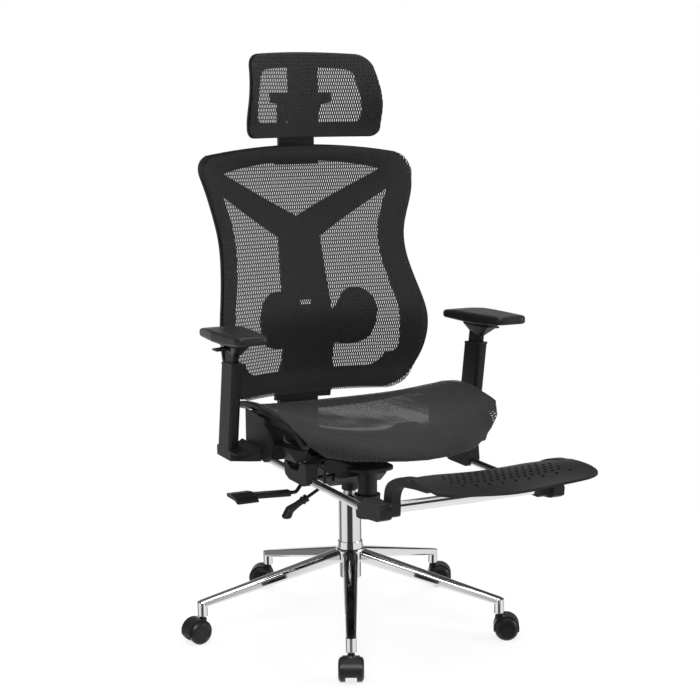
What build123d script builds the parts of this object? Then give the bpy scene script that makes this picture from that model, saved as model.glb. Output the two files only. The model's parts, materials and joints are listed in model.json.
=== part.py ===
from build123d import *
from math import atan2, cos, degrees, pi, radians, sin, tan
import os

os.makedirs("parts", exist_ok=True)

# A mesh office chair that reclines, with a pull-out footrest, in millimetres.
# +Z is up, the sitter faces -Y, and the sitter's right hand is at -X.
# The origin is on the floor, under the axis of the gas column.

RUNNING = 0.06  # radial clearance of a shaft that turns or slides in its bore
GUIDE_GAP = 0.3  # clearance of a moulded slider in its guide

# ---- five-legged base ----
LEG_COUNT = 5
LEG_TURN = -115.6  # direction of the first leg, in degrees from +X
STEM_CIRCLE = 334.0  # radius of the circle on which the casters swivel
SOCKET_RADIUS = 11.0
SOCKET_BOTTOM = 55.5
LEG_ROOT = (30.0, 157.0, 34.0, 27.0)  # distance out, mid height, width, depth
LEG_TIP = (338.0, 80.5, 21.0, 16.0)
HUB_TOP = 190.0
HUB_BOTTOM = 107.0

# ---- casters ----
WHEEL_RADIUS = 25.0
HOOD_RADIUS = 27.6
HOOD_HALF_WIDTH = 17.5
WHEEL_INNER_FACE = 11.6
WHEEL_OUTER_FACE = 25.6
CASTER_TRAIL = 16.0
STEM_RADIUS = 5.5
AXLE_RADIUS = 3.0
CASTER_TURNS = (-117.0, -30.0, -29.0, 150.0, -170.0)  # where each wheel pair trails

# ---- gas column ----
TUBE_RADIUS = 25.0
TUBE_TOP = 291.0
PISTON_RADIUS = 14.0
PISTON_TOP = 352.0
LIFT_STROKE = 100.0

# ---- tilt mechanism ----
BOX_BOTTOM = 325.0
BOX_TOP = 372.0
BOX_HALF_WIDTH = 60.0
BOX_FRONT = -66.0
BOX_BACK = 74.0
PLATE_TOP = 378.0
RECLINE_AXIS = (90.0, 350.0)  # Y, Z of the recline hinge
SPRING_AXIS_Y = -88.0
KNOB_TOP = 314.0
KNOB_BOTTOM = 263.0

TILT_LEVER_Y = -108.0
TILT_PIVOT = (-108.5, 393.0)  # X, Z of the tilt lever's hinge
GAS_LEVER_Y = -45.0
GAS_PIVOT = (-48.0, 353.9)  # X, Z of the gas lever's hinge

# ---- seat ----
# Fore-and-aft profiles of the stretched mesh: X of the profile, then (Y, Z)
# from the rear edge over the dish and down the rounded front.
SEAT_PROFILES = (
    (0, ((112, 487), (0, 482), (-120, 484), (-210, 489), (-290, 487), (-340, 473), (-362, 458), (-366, 446))),
    (100, ((110, 488), (0, 486), (-120, 489), (-210, 493), (-285, 489), (-328, 474), (-343, 460), (-343, 448))),
    (180, ((100, 493), (0, 502), (-120, 506), (-205, 505), (-250, 495), (-272, 478), (-277, 463), (-268, 450))),
    (224, ((66, 506), (0, 515), (-80, 523), (-160, 520), (-205, 513), (-225, 507), (-240, 500), (-249, 492))),
    (240, ((45, 513), (0, 521), (-60, 530), (-120, 530), (-165, 526), (-190, 522), (-205, 519), (-216, 516))),
    (248, ((28, 519), (0, 524), (-30, 529), (-55, 531), (-75, 531), (-90, 531), (-100, 531), (-110, 530))),
)
SEAT_STATIONS = (0, 0.21, 0.43, 0.6, 0.75, 0.86, 0.93, 1.0)
SEAT_STRIPS = (0, 50, 100, 142, 180, 204, 224, 240, 248)
MESH_THICKNESS = 2.0
RIM_DEPTH = 9.0
SIDE_INNER_X = 200.0
SIDE_OUTER_X = 236.0
PANEL_STEP = 18.0  # width of each of the two steps of a side panel
STRAP_THICKNESS = 6.0
RAIL_BRACKET_BACK = -105.0

# ---- arms ----
ARM_X = 288.0
ARM_TOP = 616.0
ARM_TOP_Y = -51.0
ARM_LEAN = 10.0
SLEEVE_DEPTH = 66.0
SLEEVE_RISE = 4.7  # slope of the sleeve's mouth, higher in front, in degrees
SLEEVE_WIDTH = 22.0
POST_DEPTH = 48.0
POST_WIDTH = 13.0
ARM_FOOT_Z = 412.0
PAD_BOTTOM = 663.0
STUD_Y = -66.0
# plan of a pad as (distance outwards, Y), and its side view as (Y, Z)
PAD_PLAN = ((262, -192), (331, -197), (336, -60), (328, 38), (249, 40), (249, -60))
PAD_SIDE = ((-220, 688), (-20, 685), (70, 676), (70, 663), (-110, 663), (-220, 672))

# ---- backrest ----
# Height, depth of the surface at its sides and at its middle.
BACK_SHELL = (
    (440, 90, 250),
    (490, 88, 233),
    (560, 87, 208),
    (640, 86, 198),
    (720, 96, 213),
    (800, 121, 233),
    (880, 141, 249),
    (960, 171, 247),
    (1065, 192, 248),
)
BACK_MESH = (
    (470, 95, 225),
    (560, 92, 184),
    (620, 91, 156),
    (673, 94, 141),
    (740, 117, 155),
    (800, 140, 178),
    (880, 152, 208),
    (960, 168, 233),
    (1065, 188, 241),
)
SHELL_THICKNESS = 9.0
SHELL_HALF_WIDTH = 268.0
BACK_BOTTOM = 488.0
BACK_SIDES = (
    (222, 531),
    (240, 575),
    (250, 622),
    (251, 662),
    (241, 718),
    (227, 790),
    (225, 840),
    (237, 900),
    (256, 985),
)
BACK_CORNER = (230, 1027)
BACK_CROWN = 1047.0
RIM_WIDTH = 48.0
LUMBAR_TRAVEL = 15.0

# ---- headrest ----
HEAD_SHELL = (
    (1050, 141, 214),
    (1087, 137, 216),
    (1107, 132, 217),
    (1127, 123, 217),
    (1147, 115, 218),
    (1180, 115, 219),
    (1207, 126, 220),
    (1227, 141, 221),
    (1260, 156, 222),
)
HEAD_MESH = (
    (1050, 137, 194),
    (1107, 132, 189),
    (1140, 120, 188),
    (1180, 120, 192),
    (1220, 139, 203),
    (1260, 153, 216),
)
HEAD_SIDES = ((157, 1063), (160, 1113), (158.5, 1141), (155, 1168), (151, 1195), (146, 1243))
HEAD_CROWN = 1250.0
HEAD_CORNERS = (22.0, 36.0)  # rounding of the lower and of the upper corners
HEAD_POST_HALF_WIDTH = 35.0
HEAD_PIVOT = (263.5, 1124.0)  # Y, Z of the headrest's tilt axis

# ---- footrest ----
RAIL_X = 185.0
RAIL_Z = 390.0
RAIL_RADIUS = 8.0
RAIL_BACK = 120.0
TUBE_Y = -510.0
TUBE_Z = 403.0
CROSS_RADIUS = 11.0
PAD_ARM_X = 158.0


def save(builder, name):
    """Label a finished piece and write it out."""
    builder.part.label = name
    export_step(builder.part, f"parts/{name}.step")


def turned(plane, degrees_about_z):
    """The plane turned about the vertical line through its own origin."""
    return plane.rotated((0, 0, degrees_about_z))


# =====================================================================
# Base
# =====================================================================


def leg_section(distance, height, width, depth, azimuth):
    """A rounded box section of a leg, square to the leg's direction."""
    out = Vector(cos(radians(azimuth)), sin(radians(azimuth)), 0)
    plane = Plane(origin=out * distance + Vector(0, 0, height), x_dir=Vector(-out.Y, out.X, 0), z_dir=out)
    with BuildSketch(plane) as section:
        RectangleRounded(width, depth, depth * 0.3)
    return section.sketch


leg_azimuths = [LEG_TURN + 360 / LEG_COUNT * index for index in range(LEG_COUNT)]

with BuildPart() as star_base:
    with BuildSketch(Plane.XZ):
        with BuildLine():
            Polyline(
                (0, HUB_BOTTOM),
                (22, HUB_BOTTOM),
                (23.5, HUB_BOTTOM + 2),
                (23.5, 142),
                (31, 148),
                (32, 151),
                (32, 170),
                (31, 173),
                (28.5, 175),
                (27, HUB_TOP),
                (0, HUB_TOP),
                close=True,
            )
        make_face()
    revolve(axis=Axis.Z)
    for azimuth in leg_azimuths:
        loft(sections=[leg_section(*LEG_ROOT, azimuth), leg_section(*LEG_TIP, azimuth)], ruled=True)
    with BuildSketch(Plane.XY.offset(SOCKET_BOTTOM)):
        with PolarLocations(STEM_CIRCLE, LEG_COUNT, start_angle=LEG_TURN):
            Circle(SOCKET_RADIUS)
    extrude(amount=86.0 - SOCKET_BOTTOM)
    # the tapered seat of the gas column, and the bores of the caster stems
    with BuildSketch(Plane.XZ):
        with BuildLine():
            Polyline((0, 100), (19.5, 100), (21.5, 125), (25, 176), (25, 200), (0, 200), close=True)
        make_face()
    revolve(axis=Axis.Z, mode=Mode.SUBTRACT)
    with BuildSketch(Plane.XY.offset(SOCKET_BOTTOM - 1)):
        with PolarLocations(STEM_CIRCLE, LEG_COUNT, start_angle=LEG_TURN):
            Circle(STEM_RADIUS + RUNNING)
    extrude(amount=30, mode=Mode.SUBTRACT)
save(star_base, "star_base")

with BuildPart() as gas_column_tube:
    with BuildSketch(Plane.XZ):
        with BuildLine():
            Polyline(
                (0, 110),
                (20.3, 110),
                (21.5, 125),
                (25, 176),
                (25, TUBE_TOP - 2),
                (23.5, TUBE_TOP),
                (21, TUBE_TOP),
                (21, 130),
                (0, 130),
                close=True,
            )
        make_face()
    revolve(axis=Axis.Z)
save(gas_column_tube, "gas_column_tube")

with BuildPart() as column_bushing:
    with BuildSketch(Plane.XY.offset(TUBE_TOP - 42)):
        Circle(21)
        Circle(PISTON_RADIUS + RUNNING, mode=Mode.SUBTRACT)
    extrude(amount=42)
    with BuildSketch(Plane.XY.offset(TUBE_TOP)):
        Circle(22.5)
        Circle(PISTON_RADIUS + RUNNING, mode=Mode.SUBTRACT)
    extrude(amount=2.5)
    chamfer(column_bushing.faces().sort_by(Axis.Z)[-1].outer_wire().edges(), 1.5)
save(column_bushing, "column_bushing")

# =====================================================================
# Casters
# =====================================================================

WHEEL_PROFILE = (
    (WHEEL_INNER_FACE, AXLE_RADIUS + RUNNING),
    (WHEEL_INNER_FACE, WHEEL_RADIUS),
    (21.0, WHEEL_RADIUS),
    (24.4, 21.6),
    (WHEEL_OUTER_FACE, 18.2),
    (24.2, 17.0),
    (25.0, 0.0),
    (21.0, 0.0),
    (21.0, AXLE_RADIUS + RUNNING),
)


def caster_plane(index):
    """Origin on the floor under the stem, X towards where the wheels trail."""
    azimuth = radians(leg_azimuths[index])
    foot = Vector(STEM_CIRCLE * cos(azimuth), STEM_CIRCLE * sin(azimuth), 0)
    return turned(Plane(origin=foot), CASTER_TURNS[index])


def make_caster_hood(index):
    """The moulded hood: a barrel over both treads, a middle web and the neck."""
    frame = caster_plane(index)
    side = Plane(origin=frame.origin, x_dir=frame.x_dir, z_dir=frame.x_dir.cross(Vector(0, 0, 1)))
    lip = 16.0
    with BuildPart() as hood:
        with BuildSketch(side):
            with Locations((CASTER_TRAIL, WHEEL_RADIUS)):
                Circle(HOOD_RADIUS)
                Circle(WHEEL_RADIUS + 0.8, mode=Mode.SUBTRACT)
                with Locations((0, -HOOD_RADIUS - HOOD_RADIUS * sin(radians(lip)))):
                    Rectangle(4 * HOOD_RADIUS, 2 * HOOD_RADIUS, mode=Mode.SUBTRACT)
        extrude(amount=HOOD_HALF_WIDTH, both=True)
        with BuildSketch(side):
            with Locations((CASTER_TRAIL, WHEEL_RADIUS)):
                Circle(HOOD_RADIUS - 0.5)
                with Locations((0, -HOOD_RADIUS - 8)):
                    Rectangle(4 * HOOD_RADIUS, 2 * HOOD_RADIUS, mode=Mode.SUBTRACT)
        extrude(amount=WHEEL_INNER_FACE - 0.6, both=True)
        with BuildSketch(frame.offset(40)):
            Circle(8.4)
        extrude(amount=9)
        with BuildSketch(frame.offset(49)):
            Circle(6.9)
        extrude(amount=5.5)
        with BuildSketch(side):
            with Locations((CASTER_TRAIL, WHEEL_RADIUS)):
                Circle(AXLE_RADIUS)
        extrude(amount=HOOD_HALF_WIDTH, both=True, mode=Mode.SUBTRACT)
        with BuildSketch(frame.offset(36)):
            Circle(STEM_RADIUS)
        extrude(amount=30, mode=Mode.SUBTRACT)
    save(hood, f"caster_hood_{index + 1}")


def make_caster_pins(index):
    """The steel swivel stem, with its grip groove, and the wheels' axle."""
    frame = caster_plane(index)
    side = Plane(origin=frame.origin, x_dir=frame.x_dir, z_dir=frame.x_dir.cross(Vector(0, 0, 1)))
    with BuildPart() as pins:
        with BuildSketch(frame.offset(36)):
            Circle(STEM_RADIUS)
        extrude(amount=46)
        with BuildSketch(side):
            with Locations((CASTER_TRAIL, WHEEL_RADIUS)):
                Circle(AXLE_RADIUS)
        extrude(amount=20.5, both=True)
    save(pins, f"caster_pins_{index + 1}")


def make_caster_wheel(index, hand, name):
    """One wheel: a flat tread, a rounded shoulder and a recessed domed cap."""
    frame = caster_plane(index)
    axle = frame.origin + frame.x_dir * CASTER_TRAIL + Vector(0, 0, WHEEL_RADIUS)
    out = frame.x_dir.cross(Vector(0, 0, 1)) * hand
    with BuildPart() as wheel:
        with BuildSketch(Plane(origin=axle, x_dir=out, z_dir=frame.x_dir * hand)):
            with BuildLine():
                Polyline(*WHEEL_PROFILE, close=True)
            make_face()
        revolve(axis=Axis(axle, out))
    save(wheel, f"{name}_{index + 1}")


for caster in range(LEG_COUNT):
    make_caster_hood(caster)
    make_caster_pins(caster)
    make_caster_wheel(caster, 1, "caster_wheel_a")
    make_caster_wheel(caster, -1, "caster_wheel_b")

# =====================================================================
# Gas piston
# =====================================================================

PIN_RADIUS = 4.0
PIN_HOLE_BOTTOM = 320.0

with BuildPart() as gas_piston:
    with BuildSketch(Plane.XZ):
        with BuildLine():
            Polyline(
                (0, 133),
                (20.4, 133),
                (20.4, 146),
                (PISTON_RADIUS, 146),
                (PISTON_RADIUS, 318),
                (12.6, PISTON_TOP),
                (0, PISTON_TOP),
                close=True,
            )
        make_face()
    revolve(axis=Axis.Z)
    with BuildSketch(Plane.XY.offset(PIN_HOLE_BOTTOM)):
        Circle(PIN_RADIUS + RUNNING)
    extrude(amount=60, mode=Mode.SUBTRACT)
save(gas_piston, "gas_piston")

with BuildPart() as gas_release_pin:
    with BuildSketch(Plane.XY.offset(PIN_HOLE_BOTTOM + 6)):
        Circle(PIN_RADIUS)
    extrude(amount=PISTON_TOP + 5 - PIN_HOLE_BOTTOM - 6)
    chamfer(gas_release_pin.faces().sort_by(Axis.Z)[-1].edges(), 0.8)
save(gas_release_pin, "gas_release_pin")

# =====================================================================
# Tilt mechanism
# =====================================================================

recline_y, recline_z = RECLINE_AXIS
PIVOT_RADIUS = 6.0
BARREL_RADIUS = 13.0
BARREL_HALF_WIDTH = 48.0

with BuildPart() as mechanism_housing:
    # pressed tray with sloping ends
    with BuildSketch(Plane.YZ):
        with BuildLine():
            Polyline(
                (BOX_FRONT, BOX_TOP),
                (BOX_FRONT + 6, BOX_BOTTOM + 22),
                (BOX_FRONT + 34, BOX_BOTTOM),
                (BOX_BACK - 20, BOX_BOTTOM),
                (BOX_BACK, BOX_BOTTOM + 8),
                (BOX_BACK, BOX_TOP),
                close=True,
            )
        make_face()
    extrude(amount=BOX_HALF_WIDTH, both=True)
    fillet(mechanism_housing.edges().filter_by(Axis.Z).group_by(Axis.Y)[0], 12)
    # hollow of the tray, open to the plate above
    with BuildSketch(Plane.YZ):
        with BuildLine():
            Polyline(
                (BOX_FRONT + 4, BOX_TOP),
                (BOX_FRONT + 10, BOX_BOTTOM + 24),
                (BOX_FRONT + 36, BOX_BOTTOM + 4),
                (BOX_BACK - 21, BOX_BOTTOM + 4),
                (BOX_BACK - 4, BOX_BOTTOM + 11),
                (BOX_BACK - 4, BOX_TOP),
                close=True,
            )
        make_face()
    extrude(amount=BOX_HALF_WIDTH - 4, both=True, mode=Mode.SUBTRACT)
    # cheeks that carry the recline pin
    for side_x in (-BOX_HALF_WIDTH, BOX_HALF_WIDTH - 8):
        with BuildSketch(Plane.YZ.offset(side_x)):
            with BuildLine():
                Polyline(
                    (BOX_BACK - 4, BOX_TOP),
                    (BOX_BACK - 4, BOX_BOTTOM + 6),
                    (recline_y, recline_z - 17),
                    (recline_y + 16, recline_z - 6),
                    (recline_y + 16, recline_z + 8),
                    (recline_y + 8, BOX_TOP),
                    close=True,
                )
            make_face()
        extrude(amount=8)
    # boss round the piston and the barrel of the tension spring
    with BuildSketch(Plane.XY.offset(BOX_BOTTOM)):
        Circle(24)
    extrude(amount=PISTON_TOP - BOX_BOTTOM - 4)
    with BuildSketch(Plane.XY.offset(KNOB_TOP + 1)):
        with Locations((0, SPRING_AXIS_Y)):
            Circle(21)
    extrude(amount=BOX_TOP - KNOB_TOP - 1)
    # top plate with its rounded nose
    with BuildSketch(Plane.XY.offset(BOX_TOP)):
        with Locations((0, 12)):
            RectangleRounded(178, 150, 10)
        with Locations((0, -88)):
            RectangleRounded(96, 104, 32)
    extrude(amount=PLATE_TOP - BOX_TOP)
    # the piston's tapered socket
    with BuildSketch(Plane.XZ):
        with BuildLine():
            Polyline(
                (0, 300),
                (PISTON_RADIUS + RUNNING, 300),
                (PISTON_RADIUS + RUNNING, 318),
                (12.6 + RUNNING, PISTON_TOP),
                (0, PISTON_TOP),
                close=True,
            )
        make_face()
    revolve(axis=Axis.Z, mode=Mode.SUBTRACT)
    # bores of the recline pin and of the knob's screw
    with BuildSketch(Plane.YZ.offset(-BOX_HALF_WIDTH - 1)):
        with Locations(RECLINE_AXIS):
            Circle(PIVOT_RADIUS)
    extrude(amount=2 * BOX_HALF_WIDTH + 2, mode=Mode.SUBTRACT)
    with BuildSketch(Plane.XY.offset(KNOB_TOP)):
        with Locations((0, SPRING_AXIS_Y)):
            Circle(5 + RUNNING)
    extrude(amount=30, mode=Mode.SUBTRACT)
    # flange and pin that carry the tilt lever
    with BuildSketch(Plane.XZ.offset(-TILT_LEVER_Y - 12)):
        with BuildLine():
            Polyline(
                (-40, BOX_TOP),
                (-40, PLATE_TOP + 5),
                (-98, TILT_PIVOT[1] + 7),
                (-115, TILT_PIVOT[1] + 7),
                (-115, TILT_PIVOT[1] - 7),
                (-98, BOX_TOP),
                close=True,
            )
        make_face()
    extrude(amount=4)
    with BuildSketch(Plane.XZ.offset(-TILT_LEVER_Y - 9)):
        with Locations(TILT_PIVOT):
            Circle(2)
    extrude(amount=15)
    # pin of the gas lever, on the front wall
    with BuildSketch(Plane.XZ.offset(-GAS_LEVER_Y - 9)):
        with Locations(GAS_PIVOT):
            Circle(2)
    extrude(amount=22)
    # slot through which the gas lever's rod leaves the tray
    with BuildSketch(Plane.YZ.offset(-BOX_HALF_WIDTH - 1)):
        with Locations((-45, 350)):
            Rectangle(12, 22)
    extrude(amount=12, mode=Mode.SUBTRACT)
save(mechanism_housing, "mechanism_housing")

with BuildPart() as column_cup:
    with BuildSketch(Plane.XY.offset(304)):
        Circle(17.5)
        Circle(PISTON_RADIUS + 0.5, mode=Mode.SUBTRACT)
    extrude(amount=BOX_BOTTOM - 304)
    chamfer(column_cup.faces().sort_by(Axis.Z)[0].outer_wire().edges(), 2)
save(column_cup, "column_cup")

with BuildPart() as recline_pin:
    with BuildSketch(Plane.YZ.offset(-BOX_HALF_WIDTH - 2)):
        with Locations(RECLINE_AXIS):
            Circle(PIVOT_RADIUS)
    extrude(amount=2 * BOX_HALF_WIDTH + 4)
    for head_x in (-BOX_HALF_WIDTH - 6, BOX_HALF_WIDTH):
        with BuildSketch(Plane.YZ.offset(head_x)):
            with Locations(RECLINE_AXIS):
                Circle(9)
        extrude(amount=6)
save(recline_pin, "recline_pin")

with BuildPart() as mechanism_bolts:
    for bolt_x in (-70, 70):
        for bolt_y in (-40, 64):
            with BuildSketch(Plane.XY.offset(BOX_TOP - 5)):
                with Locations((bolt_x, bolt_y)):
                    RegularPolygon(7.5, 6)
            extrude(amount=5)
    for side_x in (-BOX_HALF_WIDTH - 4, BOX_HALF_WIDTH):
        with BuildSketch(Plane.YZ.offset(side_x)):
            with Locations((-22, 357)):
                RegularPolygon(7.5, 6)
        extrude(amount=4)
save(mechanism_bolts, "mechanism_bolts")

with BuildPart() as tension_knob:
    with BuildSketch(Plane.XY.offset(KNOB_BOTTOM)):
        with Locations((0, SPRING_AXIS_Y)):
            Circle(24.5)
    extrude(amount=KNOB_TOP - KNOB_BOTTOM, taper=-4.0)
    fillet(tension_knob.faces().sort_by(Axis.Z)[0].edges(), 4)
    with BuildSketch(Plane.XY.offset(KNOB_BOTTOM)):
        with Locations((0, SPRING_AXIS_Y)):
            with PolarLocations(29.6, 14):
                Circle(3.2)
    extrude(amount=32, mode=Mode.SUBTRACT)
    with BuildSketch(Plane.XY.offset(KNOB_TOP)):
        with Locations((0, SPRING_AXIS_Y)):
            Circle(5)
    extrude(amount=26)
save(tension_knob, "tension_knob")

# =====================================================================
# Levers under the seat
# =====================================================================

GAS_LEVER_Z = 326.0
GAS_LEVER_PATH = (
    (0, 0, 361),
    (-18, GAS_LEVER_Y, 361),
    (-56, GAS_LEVER_Y, 352),
    (-128, GAS_LEVER_Y, 350),
    (-147, GAS_LEVER_Y, GAS_LEVER_Z),
    (-172, GAS_LEVER_Y, GAS_LEVER_Z),
)
TILT_LEVER_PATH = (
    (TILT_PIVOT[0], TILT_LEVER_Y, 390),
    (TILT_PIVOT[0], TILT_LEVER_Y, 354),
    (-124, TILT_LEVER_Y, 343),
    (-153, TILT_LEVER_Y, 327),
)


def rod_path(points):
    """A bent rod's centre line, with rounded bends."""
    with BuildLine() as path:
        FilletPolyline(*points, radius=9)
    return path.line


gas_rod_line = rod_path(GAS_LEVER_PATH)
with BuildPart() as gas_lever_rod:
    with BuildSketch(Plane(gas_rod_line @ 0, z_dir=gas_rod_line % 0)):
        Circle(4)
    sweep(path=gas_rod_line)
    # eye on which the lever hinges inside the tray
    with BuildSketch(Plane.XZ.offset(-GAS_LEVER_Y)):
        with Locations(GAS_PIVOT):
            Circle(6)
    extrude(amount=4, both=True)
    with BuildSketch(Plane.XZ.offset(-GAS_LEVER_Y)):
        with Locations(GAS_PIVOT):
            Circle(2 + RUNNING)
    extrude(amount=8, both=True, mode=Mode.SUBTRACT)
save(gas_lever_rod, "gas_lever_rod")

PADDLE_PROFILE = (
    (-14, 328),
    (-14, 334),
    (-40, 338),
    (-66, 334),
    (-77, 327),
    (-77, 323),
    (-64, 328),
    (-40, 328),
)

with BuildPart() as gas_lever_grip:
    # flat blade that the rod is pressed into
    with BuildSketch(Plane.YZ.offset(-163)):
        with Locations((GAS_LEVER_Y, GAS_LEVER_Z)):
            RectangleRounded(22, 13, 5)
    with BuildSketch(Plane.YZ.offset(-248)):
        with Locations((GAS_LEVER_Y, GAS_LEVER_Z + 4)):
            RectangleRounded(26, 11, 4)
    loft(ruled=True)
    # wide paddle with a turned-down front edge
    with BuildSketch(Plane.YZ.offset(-293)):
        with BuildLine():
            Polyline(*PADDLE_PROFILE, close=True)
        make_face()
    extrude(amount=48)
    fillet(gas_lever_grip.edges().filter_by(Axis.Z).group_by(Axis.X)[0], 4)
    with BuildSketch(Plane.YZ.offset(-162)):
        with Locations((GAS_LEVER_Y, GAS_LEVER_Z)):
            Circle(4)
    extrude(amount=-10, mode=Mode.SUBTRACT)
save(gas_lever_grip, "gas_lever_grip")

tilt_rod_line = rod_path(TILT_LEVER_PATH)
with BuildPart() as tilt_lever_rod:
    with BuildSketch(Plane(tilt_rod_line @ 0, z_dir=tilt_rod_line % 0)):
        Circle(3.5)
    sweep(path=tilt_rod_line)
    # eye on which the lever hinges
    with BuildSketch(Plane.XZ.offset(-TILT_LEVER_Y - 4)):
        with Locations(TILT_PIVOT):
            Circle(6)
    extrude(amount=8)
    with BuildSketch(Plane.XZ.offset(-TILT_LEVER_Y - 6)):
        with Locations(TILT_PIVOT):
            Circle(2 + RUNNING)
    extrude(amount=12, mode=Mode.SUBTRACT)
save(tilt_lever_rod, "tilt_lever_rod")

with BuildPart() as tilt_lever_handle:
    handle_start = Vector(-150, TILT_LEVER_Y, 328.7)
    handle_run = Vector(-30, 0, -16).normalized()
    for distance, radius, length in ((0, 8.5, 5), (5, 6.6, 3), (8, 8.8, 5), (13, 6.8, 12)):
        with BuildSketch(Plane(handle_start + handle_run * distance, z_dir=handle_run)):
            Circle(radius)
        extrude(amount=length)
    knob_centre = handle_start + handle_run * 25
    with BuildSketch(Plane(knob_centre, z_dir=handle_run)):
        Circle(6.8)
    with BuildSketch(Plane(knob_centre + Vector(-17, 0, -9), z_dir=Vector(-14, 0, -16))):
        Circle(9.5)
    with BuildSketch(Plane(knob_centre + Vector(-27, 0, -27), z_dir=Vector(0, 0, -1))):
        Circle(11.5)
    loft(ruled=True)
    fillet(tilt_lever_handle.faces().sort_by(Axis.Z)[0].edges(), 5)
    with BuildSketch(Plane(handle_start, z_dir=handle_run)):
        Circle(3.5)
    extrude(amount=8, mode=Mode.SUBTRACT)
save(tilt_lever_handle, "tilt_lever_handle")

# =====================================================================
# Seat
# =====================================================================


def seat_strip(x, points, above, below):
    """A profile of the seat turned into a strip between two offsets of itself."""
    upper = []
    lower = []
    last = len(points) - 1
    for index, (y, z) in enumerate(points):
        before = points[max(index - 1, 0)]
        after = points[min(index + 1, last)]
        run = Vector(after[0] - before[0], after[1] - before[1]).normalized()
        normal = Vector(run.Y, -run.X)
        upper.append(Vector(y, z) + normal * above)
        lower.append(Vector(y, z) + normal * below)
    with BuildSketch(Plane.YZ.offset(x)) as strip:
        with BuildLine():
            add(Edge.make_spline(upper, parameters=SEAT_STATIONS))
            Line(upper[-1], lower[-1])
            add(Edge.make_spline(lower, parameters=SEAT_STATIONS))
            Line(lower[0], upper[0])
        make_face()
    return strip.sketch


def seat_profile(x):
    """The profile at any X, on smooth curves through the measured profiles."""
    known = [(-SEAT_PROFILES[1][0], SEAT_PROFILES[1][1]), *SEAT_PROFILES]
    index = max(i for i, row in enumerate(known[:-1]) if row[0] <= x)
    (x1, low), (x2, high) = known[index], known[index + 1]
    (x0, before), (x3, after) = known[index - 1], known[min(index + 2, len(known) - 1)]
    share = (x - x1) / (x2 - x1)
    points = []
    for p0, p1, p2, p3 in zip(before, low, high, after):
        point = []
        for a, b, c, d in zip(p0, p1, p2, p3):
            slope_in = (c - a) / (x2 - x0) * (x2 - x1)
            slope_out = (d - b) / (x3 - x1) * (x2 - x1)
            rise = (2 * share**3 - 3 * share**2 + 1) * b + (3 * share**2 - 2 * share**3) * c
            bend = (share**3 - 2 * share**2 + share) * slope_in + (share**3 - share**2) * slope_out
            point.append(rise + bend)
        points.append(tuple(point))
    return points


def seat_strips(above, below):
    """The strips of the whole seat from its right side to its left side."""
    left = [seat_strip(x, seat_profile(x), above, below) for x in SEAT_STRIPS]
    right = [seat_strip(-x, seat_profile(x), above, below) for x in reversed(SEAT_STRIPS[1:])]
    return right + left


with BuildPart() as seat_mesh:
    loft(sections=seat_strips(0, -MESH_THICKNESS), ruled=True)
save(seat_mesh, "seat_mesh")

with BuildPart() as seat_frame:
    # the rim follows the mesh from below and is open in the middle
    loft(sections=seat_strips(-MESH_THICKNESS - 1, -MESH_THICKNESS - RIM_DEPTH), ruled=True)
    with BuildSketch(Plane.XY.offset(380)):
        with BuildLine():
            Polyline(
                (-200, 50),
                (-180, 84),
                (180, 84),
                (200, 50),
                (200, -190),
                (165, -250),
                (-165, -250),
                (-200, -190),
                close=True,
            )
        make_face()
    extrude(amount=200, mode=Mode.SUBTRACT)
    # arched side panels, stepped up under the rim as it rises outwards
    for panel_x, rise in ((SIDE_INNER_X, 0), (SIDE_INNER_X + PANEL_STEP, 7)):
        for mirror in (1, -1):
            with BuildSketch(Plane.YZ.offset(mirror * (panel_x + PANEL_STEP / 2))):
                with BuildLine():
                    Polyline(
                        (-240, 470),
                        (-208, 430),
                        (-158, 427),
                        (-100, 419),
                        (-20, 416),
                        (4, 424),
                        (8, 494 + rise),
                        (-20, 500 + rise),
                        (-60, 505 + rise),
                        (-150, 506 + rise),
                        (-206, 500 + rise),
                        close=True,
                    )
                make_face()
                with BuildLine():
                    Polyline((-107, 497), (-107, 453), (-195, 457), (-236, 458), (-205, 486), (-160, 497), close=True)
                make_face(mode=Mode.SUBTRACT)
            extrude(amount=PANEL_STEP / 2, both=True)
    for side in (-1, 1):
        # strap and pad on which the arm is bolted
        with BuildSketch(Plane.YZ.offset(side * (SIDE_OUTER_X + STRAP_THICKNESS / 2))):
            with Locations((-85.5, 476)):
                Rectangle(43, 58)
            with Locations((-102, 452)):
                Circle(39)
        extrude(amount=STRAP_THICKNESS / 2, both=True)
        with BuildSketch(Plane.YZ.offset(side * (SIDE_OUTER_X + 1))):
            with Locations((-31, 472)):
                Rectangle(72, 68)
        extrude(amount=1.5, both=True)
        # the panels narrow towards their lower front corners
        with BuildSketch(Plane.XZ.offset(143)):
            with BuildLine():
                Polyline((side * 260, 480), (side * 237, 480), (side * 206, 400), (side * 260, 400), close=True)
            make_face()
        extrude(amount=140, mode=Mode.SUBTRACT)
        with BuildSketch(Plane.XY.offset(380)):
            with BuildLine():
                Polyline((side * 237, -145), (side * 206, -262), (side * 260, -262), (side * 260, -145), close=True)
            make_face()
        extrude(amount=118, mode=Mode.SUBTRACT)
save(seat_frame, "seat_frame")

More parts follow.
